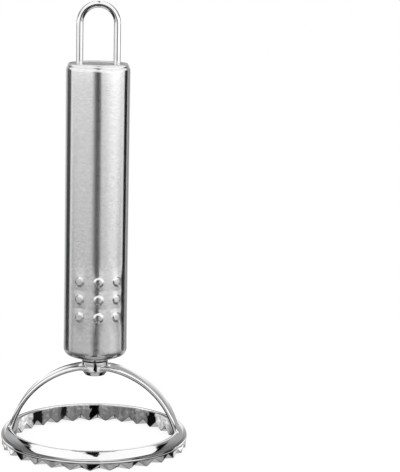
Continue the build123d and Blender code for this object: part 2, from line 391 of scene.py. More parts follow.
bow_outer = mirrored(outer_half)[:, None, :]
bow_inner = mirrored(inner_half)[:, None, :]
thickness = np.linalg.norm(bow_outer - bow_inner, axis=-1)
corner_turn = np.linspace(0, np.pi / 2, 6)
edge_across = bow_width / 2 - bow_edge_round * (1 - np.sin(corner_turn))
edge_depth = bow_edge_round * (1 - np.cos(corner_turn))
across = np.concatenate([edge_across, edge_across[::-1], -edge_across, -edge_across[::-1]])
depth = np.concatenate([edge_depth, edge_depth[::-1], edge_depth, edge_depth[::-1]])
on_outer = np.repeat([0, 1, 1, 0], len(edge_depth))
through = on_outer + (1 - 2 * on_outer) * depth / thickness
strip = bow_inner + through[..., None] * (bow_outer - bow_inner)
bow_x = strip[..., 0] * math.cos(head_turn) - across * math.sin(head_turn)
bow_y = -strip[..., 0] * math.sin(head_turn) - across * math.cos(head_turn)
bow_grid = np.stack([bow_x, bow_y, strip[..., 1]], axis=-1)
make_piece("bent_bow", "bow", *bar_of(bow_grid), sharp_angle=50)

# %% [markdown]
# A bolt holds the tool together. Its bevelled head is the button under the bow, and its thread is cut
# into the part of the shank that the nut grips. The thread could be a helix swept along the shank, but
# then it would have to be joined to it. Here it is one grid: the radius falls and rises as a triangle
# wave of height and azimuth together, so a crest climbs one pitch in each turn. The wave fades in at its
# lower end, and above it ends at the chamfered tail.

# %% Bolt with its thread
_, bolt_bottom, bolt_top = reach("centre_bolt")
_, nut_bottom, nut_top = reach("hex_nut")
bow_underside = bow_top - bow_thickness
bolt_head = 4.45
bolt_bevel_width = 1.0
bolt_bevel_height = 1.5
bevel_lower_round = 0.35
bevel_upper_round = 0.3
seat_round = 0.08
bolt_shank = 2.5
bolt_tail_chamfer = 0.5
thread_pitch = 0.8
thread_depth = 0.4


def triangle_wave(turns):
    """0 at whole numbers of turns and 1 halfway between, in straight lines."""
    return 1 - np.abs(2 * (turns % 1) - 1)


head_outline = rounded(
    [
        (0, bolt_bottom, 0),
        (bolt_head - bolt_bevel_width, bolt_bottom, bevel_lower_round),
        (bolt_head, bolt_bottom + bolt_bevel_height, bevel_upper_round),
        (bolt_head, bow_underside, seat_round),
        (bolt_shank, bow_underside, 0),
    ]
)
thread_start = nut_bottom - 2 * thread_pitch
thread_z = np.linspace(thread_start, bolt_top - bolt_tail_chamfer, 120)[:, None]
bolt_azimuth = even_azimuth(64)
fade = np.clip((thread_z - thread_start) / thread_pitch, 0, 1)
wave = triangle_wave(thread_z / thread_pitch - bolt_azimuth / (2 * np.pi))
thread_radius = bolt_shank - thread_depth * fade * wave
tail_radius = np.minimum(thread_radius[-1:], bolt_shank - bolt_tail_chamfer)
bolt_grid = turned(
    bolt_azimuth, head_outline, (thread_radius, thread_z), (tail_radius, bolt_top), (0, bolt_top)
)
make_piece("bolt_with_thread", "centre_bolt", *bar_of(bolt_grid), merge=True)

# %% [markdown]
# The neck is a short turned collar between the bow and the handle, with one fine groove round it. The
# bow lies in a slot across its lower end, so two thin lugs come down in front of and behind the strip. A
# Boolean could cut the slot out of a cylinder, but it leaves long thin triangles. Here the outline
# itself changes with the azimuth: where the slot's side lies inside the wall, the outline goes down that
# flat side and up the outside, and elsewhere both meet.

# %% Neck collar
collar_radius, lug_end, collar_top = reach("neck_collar")
bolt_hole = 2.6
slot_clearance = 0.05
slot_half = bow_width / 2 + slot_clearance
groove_rise = 1.5
groove_width = 0.4
groove_depth = 0.3
groove_lip_round = 0.08
groove_floor_round = 0.05
collar_top_round = 0.12
groove_bottom = bow_top + groove_rise
groove_top = groove_bottom + groove_width
groove_radius = collar_radius - groove_depth
collar_outline = rounded(
    [
        (collar_radius, bow_top, 0),
        (collar_radius, groove_bottom, groove_lip_round),
        (groove_radius, groove_bottom, groove_floor_round),
        (groove_radius, groove_top, groove_floor_round),
        (collar_radius, groove_top, groove_lip_round),
        (collar_radius, collar_top, collar_top_round),
        (bolt_hole, collar_top, 0),
        (bolt_hole, bow_top, 0),
    ]
)
lug_columns = 25
open_columns = 33
lug_half = math.acos(slot_half / collar_radius)
lug_turn = np.linspace(-lug_half, lug_half, lug_columns)
open_turn = np.linspace(lug_half, np.pi - lug_half, open_columns)
half_turn = np.concatenate([lug_turn, open_turn])
from_lug = np.concatenate([half_turn, half_turn + np.pi])
in_lug = np.tile(np.repeat([1, 0], [lug_columns, open_columns]), 2)
collar_azimuth = from_lug - np.pi / 2 - head_turn
slot_side = np.where(in_lug > 0, slot_half / np.abs(np.cos(from_lug)), collar_radius)
lug_bottom = bow_top - in_lug * (bow_top - lug_end)
collar_grid = turned(
    collar_azimuth,
    (slot_side, bow_top),
    (slot_side, lug_bottom),
    (collar_radius, lug_bottom),
    collar_outline,
)
make_piece("neck", "neck_collar", *ring_of(collar_grid), merge=True)

# %% [markdown]
# The handle is a deep-drawn steel cup: rounded and closed below, open above, with nine bumps pressed out
# of its front for the thumb. The bumps have to be real shape, because they show in the outline of the
# reflections. So the grid is fine where they are and coarse elsewhere, and each bump lifts the radius by
# its height times an S-curve of the distance from its middle. That gives a flat top, a soft shoulder and
# a soft foot, as a punch does.

# %% Handle bumps
tube_radius, tube_bottom, tube_top = reach("handle_tube")
bump_radius = 1.8
bump_height = 0.5
bump_flat = 0.6
bump_turn = math.radians(5)
bump_step = math.radians(35)
bump_pitch = 6.2
bump_rise = 21.65
bump_middle = tube_bottom + bump_rise
swelling = 0.2
swelling_across = 1.5
swelling_along = 2.6

front_azimuth = bump_turn - np.pi / 2
column_number, row_number = np.meshgrid([-1, 0, 1], [-1, 0, 1])
bump_azimuth = front_azimuth + bump_step * column_number.ravel()
bump_z = bump_middle + bump_pitch * row_number.ravel()


def bump_lift(azimuth, height):
    """Lift of the radius: the sum of the bumps' pressed discs, plus the largest of their wide swellings.

    The disc is s^2 (3 - 2 s), where s is 1 on the flat top and falls to 0 at the foot. The swelling is a
    Gaussian, narrower across the handle than along it: the three of a column run into a faint ridge.
    """
    along = tube_radius * (azimuth[..., None] - bump_azimuth)
    up = height[..., None] - bump_z
    s = np.clip((1 - np.hypot(along, up) / bump_radius) / (1 - bump_flat), 0, 1)
    disc = (bump_height - swelling) * s**2 * (3 - 2 * s)
    wide = swelling * np.exp(-((along / swelling_across) ** 2 + (up / swelling_along) ** 2) / 2)
    return disc.sum(axis=-1) + wide.max(axis=-1)


print(f"bumps: {len(bump_z)}, {bump_pitch} mm apart along the handle")

# %% [markdown]
# The tube's outline goes out along the base, up the outside, over the drawn-in mouth and down the
# inside. The inner wall stays plain: nobody sees it once the cap is in.

# %% Handle tube
tube_wall = 0.8
tube_bore = tube_radius - tube_wall
base_round = 3.0
inner_round = base_round - tube_wall
inner_base = tube_bottom + tube_wall
mouth_round = 0.65
mouth_height = 1.3
fine_margin = 8
fine_margin_turn = math.radians(24)
fine_half = bump_step + fine_margin_turn
fine_zone = bump_pitch + fine_margin

fine_start = front_azimuth - fine_half
fine_end = front_azimuth + fine_half
tube_azimuth = np.concatenate(
    [
        np.linspace(fine_start, fine_end, 240, endpoint=False),
        np.linspace(fine_end, fine_start + 2 * np.pi, 100, endpoint=False),
    ]
)
tube_z = np.concatenate(
    [
        np.linspace(tube_bottom + base_round, bump_middle - fine_zone, 5, endpoint=False),
        np.linspace(bump_middle - fine_zone, bump_middle + fine_zone, 190, endpoint=False),
        np.linspace(bump_middle + fine_zone, tube_top - mouth_height, 14),
    ]
)[:, None]
tube_grid = turned(
    tube_azimuth,
    (bolt_hole, tube_bottom),
    arc((tube_radius - base_round, tube_bottom + base_round), (base_round, base_round), -90, 0, 12)[:-1],
    (tube_radius + bump_lift(tube_azimuth, tube_z), tube_z),
    arc((tube_radius - mouth_round, tube_top - mouth_height), (mouth_round, mouth_height), 0, 90, 8)[1:],
    (tube_bore, tube_top),
    arc((tube_bore - inner_round, inner_base + inner_round), (inner_round, inner_round), 0, -90, 8),
    (bolt_hole, inner_base),
)
make_piece("satin_tube", "handle_tube", *ring_of(tube_grid))

# %% [markdown]
# The end cap closes the tube's mouth, and a plate under it backs the wire. Both are turned discs with
# two drilled holes, which a plain lathe can't give. So each half of a disc is its own grid, stretched
# from the edge of the hole to the outline of the half: a point of the outline and the point of the
# hole's edge that faces it are joined by a straight row. The halves are mirror images, so they meet
# exactly on the middle line, and the doubles are merged.

# %% Drilled discs
loop_half, loop_bottom, loop_top = reach("hanging_loop")
wire_head = 1.9
wire_radius = 1.2
wire_clearance = 0.1
leg_x = loop_half - wire_head
wire_hole = wire_radius + wire_clearance
dish_flat = 0.62
dish_round = 0.1
half_columns = 40
cut_columns = 16
disc_rows = 25
half_azimuth = np.linspace(-np.pi / 2, np.pi / 2, half_columns + 1)


def drilled_half(radius, height, dish):
    """Grid from a hole's edge to the outline of the half disc around it, as rows of points.

    The outline is a half circle and the line back along x = 0. The middle is flat and lower by the dish.
    From there the height rises as s goes from 0 at the end of the flat to 1 at the outline, on a hyperbola.
    """
    cut_y = radius * np.linspace(1, -1, cut_columns + 1)[1:-1]
    x = np.concatenate([radius * np.cos(half_azimuth), 0 * cut_y])
    y = np.concatenate([radius * np.sin(half_azimuth), cut_y])
    outline = np.stack([x, y], axis=-1)
    middle = np.array([leg_x, 0])
    facing = (outline - middle) / np.linalg.norm(outline - middle, axis=-1, keepdims=True)
    edge = middle + wire_hole * facing
    flat_points = edge + np.linspace(0, 1, disc_rows)[:, None, None] * (outline - edge)
    r = np.linalg.norm(flat_points, axis=-1, keepdims=True)
    s = np.clip((r / radius - dish_flat) / (1 - dish_flat), 0, 1)
    rise = (np.hypot(s, dish_round) - dish_round) / (math.hypot(1, dish_round) - dish_round)
    return np.concatenate([flat_points, height - dish + dish * rise], axis=-1)


def drilled_disc(side, dish=0):
    """Points and faces of a disc with two holes; its side is an outline from top edge to underside."""
    azimuth = np.concatenate([half_azimuth[:-1], half_azimuth[:-1] + np.pi])
    top = drilled_half(*side[0], dish)
    base = drilled_half(*side[-1], 0)
    hole = np.stack([base[0], top[0]])
    mirror = np.array([-1, 1, 1])
    points = np.empty((0, 3))
    faces = []
    for grid, flip in (
        (turned(azimuth, side[::-1]), False),
        (top, True),
        (top * mirror, False),
        (base, False),
        (base * mirror, True),
        (hole, True),
        (hole * mirror, False),
    ):
        quads = np.array(grid_quads(*grid.shape[:2], close_rows=False)) + len(points)
        faces += (quads[:, ::-1] if flip else quads).tolist()
        points = np.concatenate([points, grid.reshape(-1, 3)])
    return points, faces


# %% [markdown]
# The cap sits on the tube's mouth with a well-rounded edge, and its skirt goes down inside the bore. Its
# top is dished by a quarter of a millimetre, as a pressed cap is. The plate is a plain disc with broken
# edges.

# %% End cap and loop plate
cap_flange, cap_bottom, cap_top = reach("end_cap")
cap_edge_round = 1.05
cap_dish = 0.25
skirt_clearance = 0.05
skirt_wall = 0.8
skirt_chamfer = 0.2
skirt_radius = tube_bore - skirt_clearance
skirt_bore = skirt_radius - skirt_wall
cap_edge_middle = (cap_flange - cap_edge_round, cap_top - cap_edge_round)
cap_edge = arc(cap_edge_middle, (cap_edge_round, cap_edge_round), 90, 0, 8)
cap_skirt = [
    (cap_flange, tube_top),
    (skirt_radius, tube_top),
    (skirt_radius, cap_bottom + skirt_chamfer),
    (skirt_radius - skirt_chamfer, cap_bottom),
    (skirt_bore, cap_bottom),
    (skirt_bore, tube_top),
]
cap_side = np.concatenate([cap_edge, cap_skirt])
make_piece("cap_disc", "end_cap", *drilled_disc(cap_side, cap_dish), sharp_angle=50, merge=True)

plate_radius, plate_bottom, plate_top = reach("loop_plate")
plate_edge = 0.15
plate_side = np.array(
    [
        (plate_radius - plate_edge, plate_top),
        (plate_radius, plate_top - plate_edge),
        (plate_radius, plate_bottom + plate_edge),
        (plate_radius - plate_edge, plate_bottom),
    ]
)
make_piece("backing_plate", "loop_plate", *drilled_disc(plate_side), merge=True)

# %% [markdown]
# The hanging loop is one length of polished wire, bent round a pin. Both legs go down through the cap
# and the plate and are headed over underneath. A Blender curve with a round bevel could make the wire,
# but not its heads. So a circle is carried along the path: up one leg, round the half circle and down
# the other. Its radius is wider over the last millimetre, which makes the heads.

# %% Wire loop
loop_bend_z = loop_top - wire_radius - leg_x
head_top = plate_bottom
head_round = 0.25
leg_steps = 11
wire_turn = even_azimuth(32)
leg_radius = np.array([wire_head - head_round, wire_head, wire_head] + [wire_radius] * (leg_steps + 1))
head_z = np.array([loop_bottom, loop_bottom + head_round, head_top])
leg_z = np.concatenate([head_z, np.linspace(head_top, loop_bend_z, leg_steps + 1)])
bend_angle = np.linspace(np.pi, 0, 49)[1:-1]
path_x = np.concatenate([0 * leg_z - leg_x, leg_x * np.cos(bend_angle), 0 * leg_z + leg_x])
path_z = np.concatenate([leg_z, loop_bend_z + leg_x * np.sin(bend_angle), leg_z[::-1]])
path_radius = np.concatenate([leg_radius, 0 * bend_angle + wire_radius, leg_radius[::-1]])[:, None]
outward_angle = np.concatenate([0 * leg_z + np.pi, bend_angle, 0 * leg_z])[:, None]
outward = path_radius * np.cos(wire_turn)
loop_x = path_x[:, None] + outward * np.cos(outward_angle)
loop_z = path_z[:, None] + outward * np.sin(outward_angle)
loop_grid = np.stack([loop_x, path_radius * np.sin(wire_turn), loop_z], axis=-1)
make_piece("wire_loop", "hanging_loop", *bar_of(loop_grid, reverse=True))

# %% [markdown]
# Inside the handle sit the pieces that the bolt pulls on. They don't show from outside, but someone who
# opens the part finds them, so they get their real chamfers. The first is a turned aluminium bush on the
# tube's base, which spreads the pull over the thin metal. It is a plain lathe piece.

# %% Bush
bush_radius, bush_bottom, bush_top = reach("base_bush")
bush_chamfer = 2.4
bush_edge_round = 0.3
bush_bore_round = 0.2
bush_outline = rounded(
    [
        (bolt_hole, bush_bottom, bush_bore_round),
        (bush_radius - bush_chamfer, bush_bottom, bush_edge_round),
        (bush_radius, bush_bottom + bush_chamfer, bush_edge_round),
        (bush_radius, bush_top, bush_edge_round),
        (bolt_hole, bush_top, bush_bore_round),
    ]
)
make_piece("turned_bush", "base_bush", *ring_of(turned(even_azimuth(96), bush_outline)))

# %% [markdown]
# A hexagon nut has its corners turned off at both ends, which leaves curved lines on its flats. A
# six-sided cylinder with a bevel wouldn't show them. Here the side's radius is the smaller of a hexagon
# and two cones, so the lines come out where the two shapes cross.

# %% Nut
nut_flat = 4.0
nut_clearance = 0.05
nut_bore = bolt_shank + nut_clearance
face_share = 0.97
nut_face = face_share * nut_flat
cone_angle = math.radians(60)
nut_cone = math.tan(cone_angle)
bore_chamfer = 0.3
nut_azimuth = even_azimuth(144)
nut_share = np.concatenate([np.linspace(0, 0.16, 9), np.linspace(0.3, 0.7, 3), np.linspace(0.84, 1, 9)])
nut_z = nut_bottom + (nut_top - nut_bottom) * nut_share[:, None]
from_end = np.minimum(nut_z - nut_bottom, nut_top - nut_z)
hexagon = nut_flat / np.cos((nut_azimuth + np.pi / 6) % (np.pi / 3) - np.pi / 6)
nut_side = np.minimum(hexagon, nut_face + nut_cone * from_end)
bore_outline = np.array(
    [
        (nut_bore + bore_chamfer, nut_top),
        (nut_bore, nut_top - bore_chamfer),
        (nut_bore, nut_bottom + bore_chamfer),
        (nut_bore + bore_chamfer, nut_bottom),
    ]
)
nut_grid = turned(nut_azimuth, (nut_side, nut_z), bore_outline)
make_piece("clamp_nut", "hex_nut", *ring_of(nut_grid), sharp_angle=25)

# %% [markdown]
# The split washer keeps the nut from working loose. It is a small rounded section carried along most of
# a circle, and its ends slant, because such washers are cut from a coil: each point of the section runs
# ahead or behind by its height.

# %% Split washer
_, washer_bottom, washer_top = reach("spring_washer")
washer_outer = 4.6
washer_round = 0.1
washer_slot = 1.0
washer_slant = 0.15
washer_section = rounded(
    [
        (bolt_hole, washer_bottom, washer_round),
        (washer_outer, washer_bottom, washer_round),
        (washer_outer, washer_top, washer_round),
        (bolt_hole, washer_top, washer_round),
    ],
    arc_steps=3,
)
section_r, section_z = washer_section.T
slot_angle = washer_slot / washer_outer
lean = washer_slant * (section_z - section_z.mean()) / washer_outer
washer_azimuth = np.linspace(slot_angle, 2 * np.pi - slot_angle, 90)[:, None] + lean
washer_axes = (section_r * np.cos(washer_azimuth), section_r * np.sin(washer_azimuth), section_z)
washer_grid = np.stack(np.broadcast_arrays(*washer_axes), axis=-1)
make_piece("split_washer", "spring_washer", *bar_of(washer_grid, reverse=True))

# %% [markdown]
# The finishes are built from node trees, and a few short helpers keep them readable: one links or sets a
# socket, one makes a Math node, and the others are products, soft steps and windows made of them. The
# stage further down uses them too.


# %% Node helpers
def link_or_set(tree, socket, value):
    """Links a socket to another one, or sets it to a number or a colour."""
    if isinstance(value, bpy.types.NodeSocket):
        tree.links.new(value, socket)
    else:
        socket.default_value = value


def calc(tree, operation, *values):
    """The result of a Math node, whose inputs are sockets or numbers."""
    node = tree.nodes.new("ShaderNodeMath")
    node.operation = operation
    for socket, value in zip(node.inputs, values):
        link_or_set(tree, socket, value)
    return node.outputs[0]


def times(tree, first, *others):
    """The product of masks, which are sockets or numbers."""
    for other in others:
        first = calc(tree, "MULTIPLY", first, other)
    return first


def total(tree, base, *terms):
    """A number plus each mask times its own factor."""
    for mask, factor in terms:
        base = calc(tree, "ADD", base, times(tree, mask, factor))
    return base


def ramp(tree, value, start, end, at_start=0.0, at_end=1.0):
    """A soft step: at_start up to the value start, at_end from the value end on, an S-curve between them."""
    node = tree.nodes.new("ShaderNodeMapRange")
    node.interpolation_type = "SMOOTHSTEP"
    inputs = {"Value": value, "From Min": start, "From Max": end, "To Min": at_start, "To Max": at_end}
    for label, setting in inputs.items():
        link_or_set(tree, node.inputs[label], setting)
    return node.outputs["Result"]


def window(tree, value, low, high, soft):
    """1 between low and high, 0 outside, with soft edges."""
    rise = ramp(tree, value, low - soft, low + soft)
    fall = ramp(tree, value, high + soft, high - soft)
    return times(tree, rise, fall)


def shade(tree, light, mask, level):
    """The light where the mask is 0, and the given level where it is 1."""
    kept = times(tree, light, calc(tree, "SUBTRACT", 1, mask))
    return calc(tree, "ADD", kept, times(tree, mask, level))


# %% [markdown]
# Wear sits on edges, and the chrome's painted shade sits in hollows, so the material has to know where
# they are. Cycles has a pointiness value for that, but it changes with the mesh's density and other
# programs don't have it. Here the bend of the surface is measured once, on the finished mesh, and kept as
# two numbers at each point: 0 on flat metal, 1 where the radius of the edge or of the hollow is a fifth of
# a millimetre or less.

# %% Edge sharpness
sharpest_radius = 0.2
shortest_square = 1e-6
sharp_enough = 0.5


def mark_edges(piece):
    """Stores how sharply the surface bends out and in at each point, as attributes edge and hollow.

    From a point a to its neighbour b, with normals m and n, the bend is (n - m) . (b - a) / |b - a|^2. On a
    round bar that is 1 / radius, and in a groove it is negative. The largest among the neighbours counts.
    """
    mesh = piece.data
    points = read(mesh.vertices, "co", 3, np.float32)
    normals = read(mesh.vertex_normals, "vector", 3, np.float32)
    ends = read(mesh.edges, "vertices", 2, np.int32)
    step = (points[ends[:, 1]] - points[ends[:, 0]]) / MM
    turn = normals[ends[:, 1]] - normals[ends[:, 0]]
    step_square = np.maximum(np.einsum("ij,ij->i", step, step), shortest_square)
    bend = np.einsum("ij,ij->i", turn, step) / step_square
    shares = []
    for name, sign in (("edge", 1), ("hollow", -1)):
        sharpness = np.zeros(len(points), dtype=np.float32)
        np.maximum.at(sharpness, ends.reshape(-1), np.repeat(sign * bend, 2).astype(np.float32))
        sharpness = np.clip(sharpness * sharpest_radius, 0, 1)
        mesh.attributes.new(name, "FLOAT", "POINT").data.foreach_set("value", sharpness)
        shares.append((sharpness > sharp_enough).mean())
    return shares


for name, piece in pieces.items():
    on_edges, in_hollows = mark_edges(piece)
    print(f"{name}: {on_edges:.0%} of its points lie on sharp edges and {in_hollows:.0%} in hollows")

# %% [markdown]
# Five things happen to the metals of this tool, each at its own strength: they were ground or turned, so
# they have a grain; they were scuffed in the drawer; fingers left smears; their surfaces aren't
# perfectly flat; and their edges rub bare. Each of these is a node group with sizes in millimetres,
# built once and placed in the materials with values that suit them. The edge group also marks the
# creases, where the chrome gets painted shade. Each group gives out one mask, and the material decides
# what the mask does.


# %% Group helpers
def new_group(name, output, **inputs):
    """An empty shader group on the place of a point, with number inputs and one number output."""
    group = bpy.data.node_groups.new(name, "ShaderNodeTree")
    group.interface.new_socket(name="Place", in_out="INPUT", socket_type="NodeSocketVector")
    for label, value in inputs.items():
        socket = group.interface.new_socket(name=label, in_out="INPUT", socket_type="NodeSocketFloat")
        socket.default_value = value
    group.interface.new_socket(name=output, in_out="OUTPUT", socket_type="NodeSocketFloat")
    given = group.nodes.new("NodeGroupInput").outputs
    result = group.nodes.new("NodeGroupOutput").inputs[output]
    print(f"{name}: a group that turns Place, {', '.join(inputs)} into {output}")
    return group, given, result


def use_group(tree, group, place, **values):
    """Places a group in a tree with its own values and gives its output."""
    node = tree.nodes.new("ShaderNodeGroup")
    node.node_tree = group
    tree.links.new(place, node.inputs["Place"])
    for label, value in values.items():
        link_or_set(tree, node.inputs[label], value)
    return node.outputs[0]


def noise(tree, vector, detail=2.0, roughness=0.5):
    """Fractal noise from 0 to 1 whose largest lumps are one unit of the vector across."""
    node = tree.nodes.new("ShaderNodeTexNoise")
    tree.links.new(vector, node.inputs["Vector"])
    node.inputs["Scale"].default_value = 1
    node.inputs["Detail"].default_value = detail
    node.inputs["Roughness"].default_value = roughness
    return node.outputs[0]


def vector_math(tree, operation, *vectors):
    """A Vector Math node, whose inputs are sockets or triples."""
    node = tree.nodes.new("ShaderNodeVectorMath")
    node.operation = operation
    for socket, vector in zip(node.inputs, vectors):
        link_or_set(tree, socket, vector)
    return node


def combined(tree, **axes):
    """A vector from the sockets given for its axes X, Y and Z."""
    node = tree.nodes.new("ShaderNodeCombineXYZ")
    for axis, socket in axes.items():
        tree.links.new(socket, node.inputs[axis])
    return node.outputs[0]


def in_lumps(tree, place, x_size, y_size, z_size):
    """A place in metres, counted in lumps of the given sizes along X, Y and Z, in millimetres."""
    sizes = {"X": x_size, "Y": y_size, "Z": z_size}
    counts = {axis: calc(tree, "DIVIDE", 1 / MM, size) for axis, size in sizes.items()}
    return vector_math(tree, "MULTIPLY", place, combined(tree, **counts)).outputs[0]


# %% [markdown]
# The grain is noise drawn out in X and Y and short in Z. On a wall round the axis such lumps are streaks
# that run round it. An image wrapped round the handle would have a seam, and this has none.

# %% Turned grain
turned_grain, given, result = new_group("turned_grain", "Grain", Length=2.0, Width=0.2)
lumps = in_lumps(turned_grain, given["Place"], given["Length"], given["Length"], given["Width"])
streaks = noise(turned_grain, lumps, detail=4, roughness=0.65)
turned_grain.links.new(ramp(turned_grain, streaks, 0.25, 0.75), result)

# %% [markdown]
# Scuffs are thin strokes that lie in three directions. Each set is noise in long thin lumps, turned by a
# Mapping node, of which only the highest peaks are kept.

# %% Hairline scuffs
scuffs, given, result = new_group("scuffs", "Scuff", Length=6.0, Width=0.08)
strokes = []
for slant in ((0.4, 0.2, 0.5), (1.3, 0.9, 2.1), (2.2, 1.8, 0.3)):
    mapping = scuffs.nodes.new("ShaderNodeMapping")
    mapping.inputs["Rotation"].default_value = slant
    scuffs.links.new(given["Place"], mapping.inputs["Vector"])
    lumps = in_lumps(scuffs, mapping.outputs[0], given["Length"], given["Width"], given["Width"])
    strokes.append(ramp(scuffs, noise(scuffs, lumps, detail=1, roughness=0.5), 0.72, 0.8))
two_sets = calc(scuffs, "MAXIMUM", strokes[0], strokes[1])
scuffs.links.new(calc(scuffs, "MAXIMUM", two_sets, strokes[2]), result)

# %% [markdown]
# A smear is a soft cloud with a broken border. Broad noise gives the cloud, noise of a ninth of its size
# frays it, and a soft step makes patches of the sum.

# %% Finger smears
smears, given, result = new_group("smears", "Smear", Size=12.0)
small_size = calc(smears, "DIVIDE", given["Size"], 9)
broad = noise(smears, in_lumps(smears, given["Place"], *[given["Size"]] * 3), detail=3, roughness=0.55)
small = noise(smears, in_lumps(smears, given["Place"], *[small_size] * 3), detail=3, roughness=0.6)
both = calc(smears, "ADD", times(smears, broad, 0.75), times(smears, small, 0.25))
smears.links.new(ramp(smears, both, 0.42, 0.62), result)

# %% [markdown]
# Plated metal is never quite flat. Its waviness is slow noise with little detail, used as a height.

# %% Waviness
waviness, given, result = new_group("waviness", "Height", Size=4.0)
lumps = in_lumps(waviness, given["Place"], *[given["Size"]] * 3)
waviness.links.new(noise(waviness, lumps, detail=1.5, roughness=0.4), result)

# %% [markdown]
# The edge number alone would draw an even line along each edge, and real wear is patchy. So noise is
# added before the soft step. With the hollow number in its place, the same group gives the patchy mask
# for the chrome's painted shade in the corners.

# %% Edge wear and painted crease shade
edge_wear_and_crease_shade, given, result = new_group("edge_wear_and_crease_shade", "Mark", Edge=0.0, Patch=1.5)
lumps = in_lumps(edge_wear_and_crease_shade, given["Place"], *[given["Patch"]] * 3)
patchy = noise(edge_wear_and_crease_shade, lumps, detail=4, roughness=0.6)
sharpness_with_noise = total(edge_wear_and_crease_shade, given["Edge"], (patchy, 0.7))
edge_wear_and_crease_shade.links.new(ramp(edge_wear_and_crease_shade, sharpness_with_noise, 0.6, 1.2), result)

# %% [markdown]
# All finishes start from one base, a Principled shader with Metallic at 1, and end in the same way: with
# a colour, a roughness and a Bump node. The colour is built in layers, each laid over the last where its
# mask is bright, as dirt and wear lie over metal.


# %% Metal base
def attribute(tree, name, output):
    """A number or vector that the mesh keeps at each point."""
    node = tree.nodes.new("ShaderNodeAttribute")
    node.attribute_name = name
    return node.outputs[output]


def metal(name, *piece_names):
    """A metallic material on the named pieces: its tree, the place on the object and the edge number."""
    material = bpy.data.materials.new(name)
    material.use_nodes = True
    tree = material.node_tree
    tree.nodes["Principled BSDF"].inputs["Metallic"].default_value = 1
    place = tree.nodes.new("ShaderNodeTexCoord").outputs["Object"]
    for piece_name in piece_names:
        pieces[piece_name].data.materials.append(material)
    print(f"{name}: on {', '.join(piece_names)}")
    return tree, place, attribute(tree, "edge", "Fac")


def layered(tree, colour, *layers):
    """An RGB colour under layers (mask, strength, RGB), each laid over the last by mask times strength.

    A Mix node has sockets for each kind of data: inputs 6 and 7 and output 2 are those for colours.
    """
    below = (*colour, 1)
    for mask, strength, cover in layers:
        mix = tree.nodes.new("ShaderNodeMix")
        mix.data_type = "RGBA"
        tree.links.new(times(tree, mask, strength), mix.inputs["Factor"])
        link_or_set(tree, mix.inputs[6], below)
        mix.inputs[7].default_value = (*cover, 1)
        below = mix.outputs[2]
    return below


def from_axis(tree, place):
    """Distance of a place from the Z axis."""
    flat_place = vector_math(tree, "MULTIPLY", place, (1, 1, 0)).outputs[0]
    return vector_math(tree, "LENGTH", flat_place).outputs["Value"]


def give_finish(tree, colour, roughness, height, depth):
    """Links colour, roughness and a Bump node, whose heights 0 to 1 stand for 0 to depth millimetres."""
    shader = tree.nodes["Principled BSDF"]
    bump = tree.nodes.new("ShaderNodeBump")
    bump.inputs["Strength"].default_value = 1
    bump.inputs["Distance"].default_value = depth * MM
    tree.links.new(height, bump.inputs["Height"])
    tree.links.new(bump.outputs["Normal"], shader.inputs["Normal"])
    tree.links.new(colour, shader.inputs["Base Color"])
    tree.links.new(roughness, shader.inputs["Roughness"])


# %% [markdown]
# The bow, the neck and the bolt are chrome-plated. Chrome is almost a mirror, so its colour is pale and
# its roughness small, and its life is in small faults: a faint waviness under the plating, which bends
# the reflections, cloudy smears, hairline scuffs and edges where the plating has dulled. Its corners get
# painted shade: they are laid over with near black.

# %% Chrome plate
chrome_fault_depth = 0.016


def chrome(name, edge_wear_and_dark_reflection, *piece_names):
    """Chrome whose edges take a given colour and whose creases a painted shade: tree, place, colour,
    roughness, fault height.
    """
    tree, place, edge = metal(name, *piece_names)
    smear = use_group(tree, smears, place, Size=9.0)
    scuff = use_group(tree, scuffs, place, Length=5.0, Width=0.05)
    edge_mark = use_group(tree, edge_wear_and_crease_shade, place, Edge=edge, Patch=1.2)
    painted_crease_shade = use_group(tree, edge_wear_and_crease_shade, place, Edge=attribute(tree, "hollow", "Fac"), Patch=2.5)
    wave = use_group(tree, waviness, place, Size=3.5)
    # Painted shade: the creases are laid over with near black. The edges get the given colour, which on the
    # ring is mostly a painted dark reflection.
    layers = ((smear, 1.0, (0.89, 0.892, 0.896)), (edge_mark, 0.8, edge_wear_and_dark_reflection), (painted_crease_shade, 1.0, (0.035, 0.032, 0.03)))
    colour = layered(tree, (0.93, 0.932, 0.937), *layers)
    roughness = total(tree, 0.025, (smear, 0.04), (scuff, 0.1), (edge_mark, 0.1), (painted_crease_shade, 0.3))
    return tree, place, colour, roughness, total(tree, 0.0, (wave, 1.0), (scuff, -0.06))


dulled = (0.74, 0.735, 0.72)
tree, _, colour, roughness, faults = chrome("chrome_plate", dulled, "bent_bow", "bolt_with_thread", "neck")
give_finish(tree, colour, roughness, faults, chrome_fault_depth)

# %% [markdown]
# The ring has the same plating, but it is a casting: its flange was polished, and its inner wall was
# not, so the wall is rippled. The ripples start where the distance from the axis falls below that of the
# lip. Its sharp edges are laid over with dark grey: partly plating worn by cutting dough on hard boards,
# partly a painted dark reflection, the thin dark line that a chrome edge shows.

# %% Chromed casting
# Painted dark reflection on the ring's sharp edges, with some real wear under it.
worn_and_painted_dark_edge = (0.36, 0.355, 0.345)
ripple_start = ring_inner + 0.3
ripple_full = ring_inner + 0.1
ripple_strength = 5.0
tree, place, colour, roughness, faults = chrome("chrome_casting", worn_and_painted_dark_edge, "toothed_ring")
inside = ramp(tree, from_axis(tree, place), ripple_start * MM, ripple_full * MM)
ripple = use_group(tree, waviness, place, Size=2.6)
faults = total(tree, faults, (times(tree, inside, ripple), ripple_strength))
give_finish(tree, colour, roughness, faults, chrome_fault_depth)

# %% [markdown]
# The handle was ground with a fine belt while it turned, so its grain runs round it. Such grain blurs
# reflections up and down but hardly sideways: that is anisotropy. The tangent of an unlinked Principled
# shader already runs round the Z axis, so a quarter turn of the anisotropy puts the blur along the
# handle. The grain also speckles the colour and the roughness, thumbs leave smears, and both ends are
# rubbed brighter.

